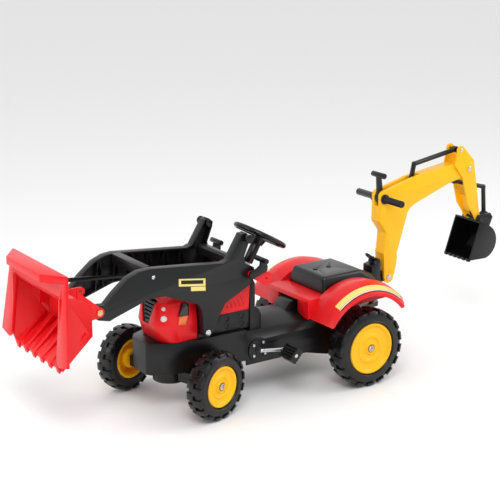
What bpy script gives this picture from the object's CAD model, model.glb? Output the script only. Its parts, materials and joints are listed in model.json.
"""Looks of the ride on digger: moulded panels, blown tyres, bolts, printed slips, studio and light."""
import json
import math

import bmesh
import bpy
from mathutils import Matrix, Vector


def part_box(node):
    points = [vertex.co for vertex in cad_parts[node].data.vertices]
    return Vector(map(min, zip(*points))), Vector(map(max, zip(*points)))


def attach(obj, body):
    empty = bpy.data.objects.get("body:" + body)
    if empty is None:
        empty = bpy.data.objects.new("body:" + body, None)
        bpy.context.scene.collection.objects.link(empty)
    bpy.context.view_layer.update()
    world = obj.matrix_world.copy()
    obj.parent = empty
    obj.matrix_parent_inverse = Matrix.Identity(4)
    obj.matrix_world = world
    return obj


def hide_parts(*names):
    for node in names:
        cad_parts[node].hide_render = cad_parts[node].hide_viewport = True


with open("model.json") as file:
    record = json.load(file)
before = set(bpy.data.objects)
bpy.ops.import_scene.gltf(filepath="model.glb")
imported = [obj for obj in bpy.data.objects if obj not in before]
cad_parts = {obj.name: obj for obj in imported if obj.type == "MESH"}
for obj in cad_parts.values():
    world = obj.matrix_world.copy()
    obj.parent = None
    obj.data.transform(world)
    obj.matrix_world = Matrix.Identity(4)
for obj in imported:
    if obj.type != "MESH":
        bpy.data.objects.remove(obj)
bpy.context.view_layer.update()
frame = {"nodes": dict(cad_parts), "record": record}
MM = 0.001


# ------------------------------------------------------------------ places taken from the frame
def middle(node):
    low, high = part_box(node)
    return (Vector(low) + Vector(high)) / 2


# The rear axle is the zero that the stations along X are counted from
REAR_X = middle("rear_axle").x
# The front axle stands a little turned at rest
STEER = math.radians(15.5)


def at(x, y, z):
    """A point in millimetres from the rear axle, the middle plane and the ground, in metres."""
    return Vector((REAR_X + x * MM, y * MM, z * MM))


# ------------------------------------------------------------------ materials
def linear(code):
    """An sRGB hex colour as a linear colour with full alpha."""
    channels = [int(code[i:i + 2], 16) / 255 for i in (1, 3, 5)]
    return [c / 12.92 if c <= 0.04045 else ((c + 0.055) / 1.055) ** 2.4 for c in channels] + [1.0]


def put(tree, kind, settings=None, **links):
    """Adds one node, sets its sockets or fields, and links its inputs from other nodes' outputs."""
    node = tree.nodes.new(kind)
    for key, value in (settings or {}).items():
        if isinstance(key, int) or key in node.inputs:
            node.inputs[key].default_value = value
        else:
            setattr(node, key, value)
    for key, output in links.items():
        tree.links.new(output, node.inputs[int(key[1:]) if key[0] == "_" else key.replace("_", " ")])
    return node


def moulded(name, colour, rough, grain=0.9, depth=0.04, mottle=0.12, coat=0.0, specular=0.3):
    """A moulded plastic. The grain is the texture of the mould's skin in millimetres, the depth its
    height in millimetres, and the mottle is how far the colour and gloss drift over a panel."""
    material = bpy.data.materials.new(name)
    material.use_nodes = True
    tree = material.node_tree
    tree.nodes.clear()
    out = put(tree, "ShaderNodeOutputMaterial")
    where = put(tree, "ShaderNodeTexCoord").outputs["Object"]
    drift = put(tree, "ShaderNodeTexNoise", {"Scale": 14.0, "Detail": 3.0}, Vector=where)
    skin = put(tree, "ShaderNodeTexNoise", {"Scale": 1 / (grain * MM), "Detail": 2.0}, Vector=where)
    base = linear(colour)
    deep = [c * (1 - mottle) for c in base[:3]] + [1.0]
    tone = put(tree, "ShaderNodeMix", {"data_type": "RGBA", 6: deep, 7: base},
               Factor=drift.outputs["Fac"])
    gloss = put(tree, "ShaderNodeMapRange", {3: rough * 0.85, 4: rough * 1.15},
                Value=drift.outputs["Fac"])
    relief = put(tree, "ShaderNodeBump", {"Strength": 0.6, "Distance": depth * MM},
                 Height=skin.outputs["Fac"])
    shader = put(tree, "ShaderNodeBsdfPrincipled",
                 {"IOR": 1.49, "Specular IOR Level": specular, "Coat Weight": coat, "Coat Roughness": 0.12},
                 Base_Color=tone.outputs[2], Roughness=gloss.outputs[0], Normal=relief.outputs[0])
    tree.links.new(shader.outputs[0], out.inputs[0])
    return material


def metal(name, colour, rough, brushed=0.3):
    """A plated or painted steel with fine drawing marks and slightly uneven gloss."""
    material = bpy.data.materials.new(name)
    material.use_nodes = True
    tree = material.node_tree
    tree.nodes.clear()
    out = put(tree, "ShaderNodeOutputMaterial")
    where = put(tree, "ShaderNodeTexCoord").outputs["Object"]
    marks = put(tree, "ShaderNodeTexNoise", {"Scale": 350.0, "Detail": 4.0}, Vector=where)
    gloss = put(tree, "ShaderNodeMapRange", {3: rough * (1 - brushed), 4: rough * (1 + brushed)},
                Value=marks.outputs["Fac"])
    relief = put(tree, "ShaderNodeBump", {"Strength": 0.25, "Distance": 0.02 * MM},
                 Height=marks.outputs["Fac"])
    shader = put(tree, "ShaderNodeBsdfPrincipled", {"Metallic": 1.0, "Base Color": linear(colour)},
                 Roughness=gloss.outputs[0], Normal=relief.outputs[0])
    tree.links.new(shader.outputs[0], out.inputs[0])
    return material


# Red polyethylene, blow moulded: an even bright red with a soft broad shine
RED = moulded("red_moulded_polyethylene", "#E3121A", 0.34, coat=0.08, mottle=0.1)
# Yellow polyethylene, blow moulded: warm and slightly waxy
YELLOW = moulded("yellow_moulded_polyethylene", "#FFBE06", 0.38, coat=0.05, mottle=0.08)
# Black polypropylene with a fine spark-eroded skin: near black with a grey sheen
BLACK = moulded("black_grained_polypropylene", "#08080A", 0.33, grain=1.1, depth=0.05, specular=0.4)
# Smoother black nylon of levers, grips and pins: deeper black, tighter shine
TRIM = moulded("black_moulded_nylon", "#060607", 0.3, grain=0.8, depth=0.03, specular=0.4)
# Charcoal polypropylene of the loader's arms: a little lighter than the body
CHARCOAL = moulded("charcoal_moulded_polypropylene", "#111214", 0.36, grain=1.2, depth=0.05, specular=0.4)
# Seat shell: satin black with a leather-like grain
SEAT = moulded("black_grained_seat_shell", "#0A0A0B", 0.33, grain=1.6, depth=0.12, specular=0.5)
# Tyre: blown hard plastic, black, with gloss and tone that drift round the tread
TYRE = moulded("black_blown_tyre_plastic", "#08080A", 0.32, grain=1.4, depth=0.08, mottle=0.25, specular=0.45)
# Zinc-plated steel of bolts, crank and axles: pale and bright
ZINC = metal("zinc_plated_steel", "#C9CCD1", 0.28)
# Yellow-passivated zinc on the bucket's bolts: a pale brass tone
BRASS = metal("yellow_passivated_zinc", "#D8B878", 0.3)
# Clear polystyrene lens over a pale reflector
LENS = moulded("clear_lens_polystyrene", "#D9DAD6", 0.12, depth=0.0, mottle=0.05, coat=0.6)
# Amber polystyrene lens
AMBER = moulded("amber_lens_polystyrene", "#F0762A", 0.15, depth=0.0, mottle=0.1, coat=0.6)
# Smoked polycarbonate of the side lamps: near black glass with a hard shine
SMOKED = moulded("smoked_lamp_polycarbonate", "#1A1B1E", 0.1, depth=0.0, mottle=0.3, coat=0.7)
# Printed vinyl of the mudguard's stripe and the arm's slip: pale cream yellow, satin
CREAM = moulded("cream_printed_vinyl", "#E9D77A", 0.3, depth=0.0, mottle=0.08)
# The same vinyl where it is printed black
INK = moulded("black_printed_vinyl", "#141414", 0.3, depth=0.0, mottle=0.2)
# The same vinyl left white, a thin line beside the stripe
WHITE = moulded("white_printed_vinyl", "#EDEBE2", 0.3, depth=0.0, mottle=0.05)

FINISH = {
    RED: "hood side_panels seat_base horn_button_left horn_button_right front_bucket tilt_lever",
    YELLOW: "boom stick front_rim_left front_rim_right rear_rim_left rear_rim_right",
    BLACK: "front_housing rear_housing dashboard cowl grille digger_mount front_beam swing_bracket scoop",
    TRIM: "pedal_left pedal_right steering_wheel loader_grips tilt_grips tilt_rod side_grips curl_lever "
          "curl_rod scoop_link lock_ring",
    CHARCOAL: "loader_arm_left loader_arm_right loader_bars crank_covers bushes column_bush",
    SEAT: "seat",
    TYRE: "front_tyre_left front_tyre_right rear_tyre_left rear_tyre_right",
    ZINC: "body_screws drive_chain loader_pins kingpin front_axle front_nuts rear_axle rear_nuts "
          "axle_sprocket crank crank_sprocket steering_column steering_link",
    BRASS: "bucket_pins",
    LENS: "head_lamps",
    AMBER: "marker_lamps",
}
FINISH_OF = {node: material for material, names in FINISH.items() for node in names.split()}
BODY_OF = {node: body for body, nodes in frame["record"]["behaviour"]["bodies"].items() for node in nodes}


# ------------------------------------------------------------------ modelling helpers
SHARP = 32  # edges that turn by more degrees than this are broken


def only(obj):
    """Deselects everything, then selects one object and makes it active."""
    bpy.ops.object.select_all(action="DESELECT")
    obj.select_set(True)
    bpy.context.view_layer.objects.active = obj


def clothe(obj, material):
    obj.data.materials.clear()
    obj.data.materials.append(material)


def settle(obj, name, node, material=None, replaces=True):
    """Names a finished piece, gives it its finish, and lets it ride the body of its node."""
    obj.name = name
    obj.data.name = name
    clothe(obj, material or FINISH_OF[node])
    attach(obj, BODY_OF[node])
    if replaces:
        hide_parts(node)
    return obj


def modify(obj, kind, **settings):
    only(obj)
    modifier = obj.modifiers.new(kind.title(), kind)
    for key, value in settings.items():
        setattr(modifier, key, value)
    bpy.ops.object.modifier_apply(modifier=modifier.name)


def smooth(obj, angle=35):
    only(obj)
    bpy.ops.object.shade_smooth_by_angle(angle=math.radians(angle))


def rounded(node, width):
    """A copy of a node's own shape with its edges broken, as a mould leaves them."""
    obj = bpy.data.objects.new(node + "_moulding", frame["nodes"][node].data.copy())
    bpy.context.scene.collection.objects.link(obj)
    only(obj)
    bpy.ops.object.mode_set(mode="EDIT")
    bpy.ops.mesh.select_all(action="SELECT")
    bpy.ops.mesh.remove_doubles(threshold=0.02 * MM)
    bpy.ops.mesh.dissolve_limited(angle_limit=math.radians(0.6))
    bpy.ops.object.mode_set(mode="OBJECT")
    modify(obj, "BEVEL", width=width * MM, segments=2, limit_method="ANGLE",
           angle_limit=math.radians(SHARP), use_clamp_overlap=True, harden_normals=False)
    smooth(obj)
    return settle(obj, node + "_moulding", node)


for node, material in FINISH_OF.items():
    clothe(frame["nodes"][node], material)

# Widths in millimetres of the broken edges that each moulding gets
EDGES = {
    "front_housing": 4.0, "rear_housing": 3.5, "dashboard": 3.0, "cowl": 2.0, "side_panels": 1.2,
    "grille": 0.5, "crank_covers": 1.0, "digger_mount": 2.0, "front_beam": 2.5, "pedal_left": 0.8,
    "pedal_right": 0.8, "steering_wheel": 1.6, "loader_arm_left": 1.6, "loader_arm_right": 1.6,
    "loader_bars": 1.5, "loader_grips": 2.0, "tilt_lever": 2.0, "tilt_grips": 1.5, "tilt_rod": 1.0,
    "front_bucket": 2.2, "boom": 3.0, "stick": 1.4, "scoop": 1.3, "swing_bracket": 2.5,
    "curl_lever": 1.5, "side_grips": 1.5, "seat_base": 5.0, "front_rim_left": 1.4,
    "front_rim_right": 1.4, "rear_rim_left": 1.6, "rear_rim_right": 1.6, "horn_button_left": 1.2,
    "horn_button_right": 1.2, "front_nuts": 0.8, "rear_nuts": 0.8, "loader_pins": 1.2,
    "bucket_pins": 1.2, "body_screws": 0.8, "scoop_link": 1.0, "curl_rod": 1.0, "hood": 4.0,
    "head_lamps": 0.8, "marker_lamps": 0.8, "seat": 3.0, "steering_column": 0.5,
}
for node, width in EDGES.items():
    rounded(node, width)


# ------------------------------------------------------------------ tyres
FLAT = 0.99  # how closely a face's normal follows an axis before the face counts as an end
LUG_HEIGHT = 11  # height in millimetres of the block that a lug is shaped from
LUG_SHARE = 0.62  # part of the pitch that a lug takes up
TREAD_DEPTH = 5.5  # how far the lugs stand above the drum, in millimetres


def pick(obj, wanted):
    """Selects the faces whose normal is wanted, in edit mode."""
    mesh = bmesh.from_edit_mesh(obj.data)
    for face in mesh.faces:
        face.select = wanted(face.normal)
    bmesh.update_edit_mesh(obj.data)


def tyre(node, radius, width, seat, lugs, place):
    """A blown tyre about Y: drum, sidewalls, bead, and two rows of lugs that overlap at the middle."""
    tread = radius - TREAD_DEPTH
    bpy.ops.object.select_all(action="DESELECT")
    bpy.ops.mesh.primitive_cylinder_add(vertices=96, radius=tread * MM, depth=(width - 18) * MM,
                                        rotation=(math.pi / 2, 0, 0))
    body = bpy.context.object
    bpy.ops.object.transform_apply()
    bpy.ops.object.mode_set(mode="EDIT")
    bpy.ops.mesh.select_all(action="DESELECT")
    bpy.ops.mesh.select_mode(type="FACE")
    pick(body, lambda normal: abs(normal.y) > FLAT)
    sidewall = tread - 0.8 * radius
    # shoulder, bulged sidewall, flat, and the ridge of the bead, then the step down to the rim
    for inward, outward in ((3.5, 3.0), (sidewall - 3.5, 4.5), (0.8 * radius - seat - 7, -0.2),
                            (1.2, 1.4), (2.2, 0.0), (1.2, -1.6), (2.0, -5.0)):
        bpy.ops.mesh.inset(thickness=inward * MM, depth=outward * MM)
    bpy.ops.mesh.delete(type="FACE")
    bpy.ops.mesh.select_all(action="DESELECT")
    bpy.ops.mesh.select_mode(type="EDGE")
    bpy.ops.mesh.select_non_manifold()
    bpy.ops.mesh.bridge_edge_loops()
    bpy.ops.mesh.select_all(action="SELECT")
    bpy.ops.mesh.normals_make_consistent(inside=False)
    bpy.ops.object.mode_set(mode="OBJECT")
    modify(body, "BEVEL", width=1.2 * MM, segments=2, limit_method="ANGLE", angle_limit=math.radians(25))
    # one lug, shaped from a block: its shoulder end is drawn in and its edges are broken
    bpy.ops.mesh.primitive_cube_add(size=1)
    lug = bpy.context.object
    half = width / 2
    lug.scale = (LUG_SHARE * math.tau * radius / lugs * MM, (half + 1) * MM, LUG_HEIGHT * MM)
    lug.location = (0, (half - 3) / 2 * MM, tread * MM)
    bpy.ops.object.transform_apply()
    bpy.ops.object.mode_set(mode="EDIT")
    mesh = bmesh.from_edit_mesh(lug.data)
    for vert in mesh.verts:
        vert.select = vert.co.y > 0 and vert.co.z > tread * MM
    mesh.select_flush(True)
    bmesh.update_edit_mesh(lug.data)
    bpy.ops.transform.translate(value=(0, -3 * MM, -3 * MM))
    bpy.ops.mesh.select_all(action="SELECT")
    bpy.ops.mesh.bevel(offset=1.3 * MM, segments=2)
    bpy.ops.object.mode_set(mode="OBJECT")
    parts = [body]
    for row, side in enumerate((1, -1)):
        for i in range(lugs):
            copy = lug.copy()
            copy.data = lug.data.copy()
            bpy.context.scene.collection.objects.link(copy)
            turn = Matrix.Rotation(math.tau * (i + 0.5 * row) / lugs, 4, "Y")
            copy.data.transform(turn @ Matrix.Scale(side, 4, Vector((0, 1, 0))))
            if side < 0:
                copy.data.flip_normals()
            parts.append(copy)
    bpy.data.objects.remove(lug)
    bpy.ops.object.select_all(action="DESELECT")
    for part in parts:
        part.select_set(True)
    bpy.context.view_layer.objects.active = body
    bpy.ops.object.join()
    body.data.transform(place)
    smooth(body, 30)
    return settle(body, node + "_blown", node)


def hub(node):
    return Matrix.Translation(middle(node))


for side in ("left", "right"):
    tyre(f"rear_tyre_{side}", 110, 62, 72.05, 18, hub(f"rear_tyre_{side}"))
    tyre(f"front_tyre_{side}", 92, 52, 55.66, 17,
         hub(f"front_tyre_{side}") @ Matrix.Rotation(STEER, 4, "Z"))


# ------------------------------------------------------------------ trim modelled by hand
def drum(centre, axis, radius, depth, steps, sides=40):
    """A turned piece about an axis: its outer face is stepped by insets, each (inward, outward)."""
    turn = Vector((0, 0, 1)).rotation_difference(Vector(axis).normalized())
    bpy.ops.object.select_all(action="DESELECT")
    bpy.ops.mesh.primitive_cylinder_add(vertices=sides, radius=radius * MM, depth=depth * MM)
    obj = bpy.context.object
    bpy.ops.object.mode_set(mode="EDIT")
    bpy.ops.mesh.select_mode(type="FACE")
    bpy.ops.mesh.select_all(action="DESELECT")
    pick(obj, lambda normal: normal.z > FLAT)
    for inward, outward in steps:
        bpy.ops.mesh.inset(thickness=inward * MM, depth=outward * MM)
    bpy.ops.object.mode_set(mode="OBJECT")
    modify(obj, "BEVEL", width=0.35 * MM, segments=2, limit_method="ANGLE", angle_limit=math.radians(35))
    obj.data.transform(Matrix.Translation(centre) @ turn.to_matrix().to_4x4())
    return obj


BOLT_PROUD = 1.6  # how far a bolt's washer stands out of the face it sits in, in millimetres


def bolt(name, node, place, axis, radius, material):
    """A washer with a bolt head on it, whose middle is sunk as a cold-formed head is."""
    head = ((radius * 0.3, 0.5), (radius * 0.12, 0.9), (radius * 0.22, -0.8))
    washer = drum(place, axis, radius, 2 * BOLT_PROUD, head, 28)
    smooth(washer, 30)
    return settle(washer, name, node, material, replaces=False)


# Pivot bolts of the digger and the arms: name, node, x, y, z, radius, finish
BOLTS = [
    ("boom_base_bolt", "boom", -211, 20.5, 231, 8, ZINC),
    ("stick_pivot_bolt", "stick", -503, 28, 518, 7, ZINC),
    ("stick_ear_bolt", "stick", -469, 26, 576, 6, ZINC),
    ("arm_nose_bolt_left", "loader_arm_left", 622, 101.5, 394, 5, ZINC),
    ("arm_nose_bolt_right", "loader_arm_right", 622, -101.5, 394, 5, ZINC),
]
for name, node, x, y, z, radius, finish in BOLTS:
    bolt(name, node, at(x, y, z), (0, math.copysign(1, y), 0), radius, finish)

# The black sleeve round the steering column, from under the wheel down to the collar
TILT = math.radians(30)
DOWN = Vector((math.sin(TILT), 0, -math.cos(TILT)))
WHEEL_HUB = at(229, 0, 421)
SLEEVE_RADIUS, SLEEVE_LENGTH, SLEEVE_MIDDLE = 13.5, 58, 52
sleeve = drum(WHEEL_HUB + DOWN * SLEEVE_MIDDLE * MM, -DOWN, SLEEVE_RADIUS, SLEEVE_LENGTH,
              ((1.0, 2.0), (2.5, 0.0)), 36)
smooth(sleeve, 30)
settle(sleeve, "column_sleeve", "steering_column", TRIM, replaces=False)


# ------------------------------------------------------------------ printed slips
SLIP_LIFT = 0.45  # how far a printed slip stands above the surface it is laid on, in millimetres


def slip(name, node, rows, material):
    """A thin printed slip laid over a surface. Its rows are lists of points in metres."""
    bpy.ops.object.select_all(action="DESELECT")
    bpy.ops.mesh.primitive_grid_add(x_subdivisions=len(rows[0]) - 1, y_subdivisions=len(rows) - 1, size=0.1)
    obj = bpy.context.object
    flat = [point for row in rows for point in row]
    for vert, point in zip(obj.data.vertices, flat):
        vert.co = point
    bpy.ops.object.mode_set(mode="EDIT")
    bpy.ops.mesh.select_all(action="SELECT")
    bpy.ops.mesh.normals_make_consistent(inside=False)
    bpy.ops.object.mode_set(mode="OBJECT")
    centre = sum(flat, Vector()) / len(flat)
    face = obj.data.polygons[len(obj.data.polygons) // 2]
    if face.normal.dot(Vector((0, centre.y, 0))) < 0:
        obj.data.flip_normals()
    modify(obj, "SOLIDIFY", thickness=2 * SLIP_LIFT * MM, offset=0)
    smooth(obj, 40)
    return settle(obj, name, node, material, replaces=False)


AXLE_Z = 110  # height of the rear axle in millimetres
# The mudguard's arch at four stations out from the middle: y, then the arch's centre x and radius
GUARD_ARCHES = ((136, -12, 176), (166, -10, 171), (188, -7, 160), (197.75, -4, 153))
# The arch is made of 14 chords over these degrees, and the stripe keeps to the first 13 of them
GUARD_FIRST, GUARD_SWEEP, GUARD_CHORDS = 50, 89, 14


def guard_point(angle, y):
    """A point on the mudguard's crown: the angle is about the axle, y is taken from the middle."""
    for (y0, x0, r0), (y1, x1, r1) in zip(GUARD_ARCHES, GUARD_ARCHES[1:]):
        if abs(y) <= y1:
            share = (abs(y) - y0) / (y1 - y0)
            x, r = x0 + (x1 - x0) * share, r0 + (r1 - r0) * share
            return at(x + r * math.cos(angle), y, AXLE_Z + r * math.sin(angle))


def row_between(start, end, y):
    """Seven points in a line from one (x, z) to another, on the side at y."""
    (x0, z0), (x1, z1) = start, end
    return [at(x0 + (x1 - x0) * i / 6, y, z0 + (z1 - z0) * i / 6) for i in range(7)]


# Lines of the mudguard's stripe: name, finish, and the y of three rows
STRIPE = (("yellow", CREAM, (170, 178, 186)), ("white", WHITE, (187, 188, 189)),
          ("dark", INK, (189.4, 190.5, 191.6)))
# Pieces of the arm's slip: name, finish, how far out it lies, and its corners in (x, z)
ARM_SLIP = (("field", CREAM, 101.5, ((548, 377), (468, 365), (468, 345), (548, 357))),
            ("tail", CREAM, 101.5, ((512, 350), (468, 343.5), (468, 332), (512, 338.5))),
            ("bar", INK, 101.9, ((541, 372), (475, 362), (475, 352), (541, 362))))

for side, word in ((1, "left"), (-1, "right")):
    turns = [math.radians(GUARD_FIRST + GUARD_SWEEP * i / GUARD_CHORDS) for i in range(GUARD_CHORDS)]
    for name, material, edges in STRIPE:
        slip(f"mudguard_stripe_{name}_{word}", "seat_base",
             [[guard_point(turn, side * y) for turn in turns] for y in edges], material)
    for name, material, out, (a, b, c, d) in ARM_SLIP:
        slip(f"arm_sticker_{name}_{word}", f"loader_arm_{word}",
             [row_between(a, b, side * out), row_between(d, c, side * out)], material)

# The side lamps, behind this station, are smoked glass. The round lamps in the nose stay clear
SIDE_LAMP_END = at(538, 0, 0).x
lamps = bpy.data.objects["head_lamps_moulding"]
lamps.data.materials.append(SMOKED)
for face in lamps.data.polygons:
    if face.center.x < SIDE_LAMP_END:
        face.material_index = 1

bpy.ops.object.select_all(action="DESELECT")

# ------------------------------------------------------------------ floor, light and camera
bpy.ops.mesh.primitive_plane_add(size=60)
floor = bpy.context.object
floor.name = "floor"
paper = bpy.data.materials.new("white_paper_floor")
paper.use_nodes = True
paper.node_tree.nodes["Principled BSDF"].inputs["Base Color"].default_value = linear("#F4F4F4")
paper.node_tree.nodes["Principled BSDF"].inputs["Roughness"].default_value = 0.95
clothe(floor, paper)

world = bpy.data.worlds.new("white_studio")
bpy.context.scene.world = world
world.use_nodes = True
sky = world.node_tree
sky.nodes.clear()
way = put(sky, "ShaderNodeTexCoord").outputs["Generated"]
# The wall behind and above the object is lit, the near side of the studio is dim
lean = put(sky, "ShaderNodeVectorMath", {"operation": "DOT_PRODUCT", 1: (-0.46, -0.68, 0.57)}, _0=way)
wall = put(sky, "ShaderNodeMapRange", {1: -1.0, 2: 1.0, 3: 0.25, 4: 1.1}, Value=lean.outputs["Value"])
seen = put(sky, "ShaderNodeLightPath").outputs["Is Camera Ray"]
strength = put(sky, "ShaderNodeMix", {3: 1.0}, Factor=seen, _2=wall.outputs[0])
white = put(sky, "ShaderNodeBackground", {"Color": linear("#FFFFFF")}, Strength=strength.outputs[0])
put(sky, "ShaderNodeOutputWorld", Surface=white.outputs[0])


def soft_light(name, place, target, size, power):
    lamp = bpy.data.lights.new(name, "AREA")
    lamp.energy = power
    lamp.size = size
    obj = bpy.data.objects.new(name, lamp)
    obj.location = place
    obj.rotation_euler = (Vector(target) - Vector(place)).to_track_quat("-Z", "Y").to_euler()
    bpy.context.scene.collection.objects.link(obj)


soft_light("key_softbox", (1.6, 2.2, 3.0), (0, 0, 0.3), 1.6, 64)
soft_light("side_softbox", (-2.6, 1.6, 2.0), (0, 0, 0.3), 1.6, 30)
soft_light("nose_softbox", (3.2, -0.6, 1.6), (0.3, 0, 0.3), 1.4, 26)

CAMERA_YAW, CAMERA_PITCH = math.radians(34.1), math.radians(15.9)
camera = bpy.data.cameras.new("camera")
camera.lens = 100.66
camera.sensor_width = 36.0
eye = bpy.data.objects.new("camera", camera)
eye.location = at(2296.2, 3005.8, 1417.8)
level = math.cos(CAMERA_PITCH)
forward = Vector((-math.sin(CAMERA_YAW) * level, -math.cos(CAMERA_YAW) * level, -math.sin(CAMERA_PITCH)))
eye.rotation_euler = forward.to_track_quat("-Z", "Y").to_euler()
bpy.context.scene.collection.objects.link(eye)
bpy.context.scene.camera = eye
bpy.context.scene.view_settings.view_transform = "Standard"
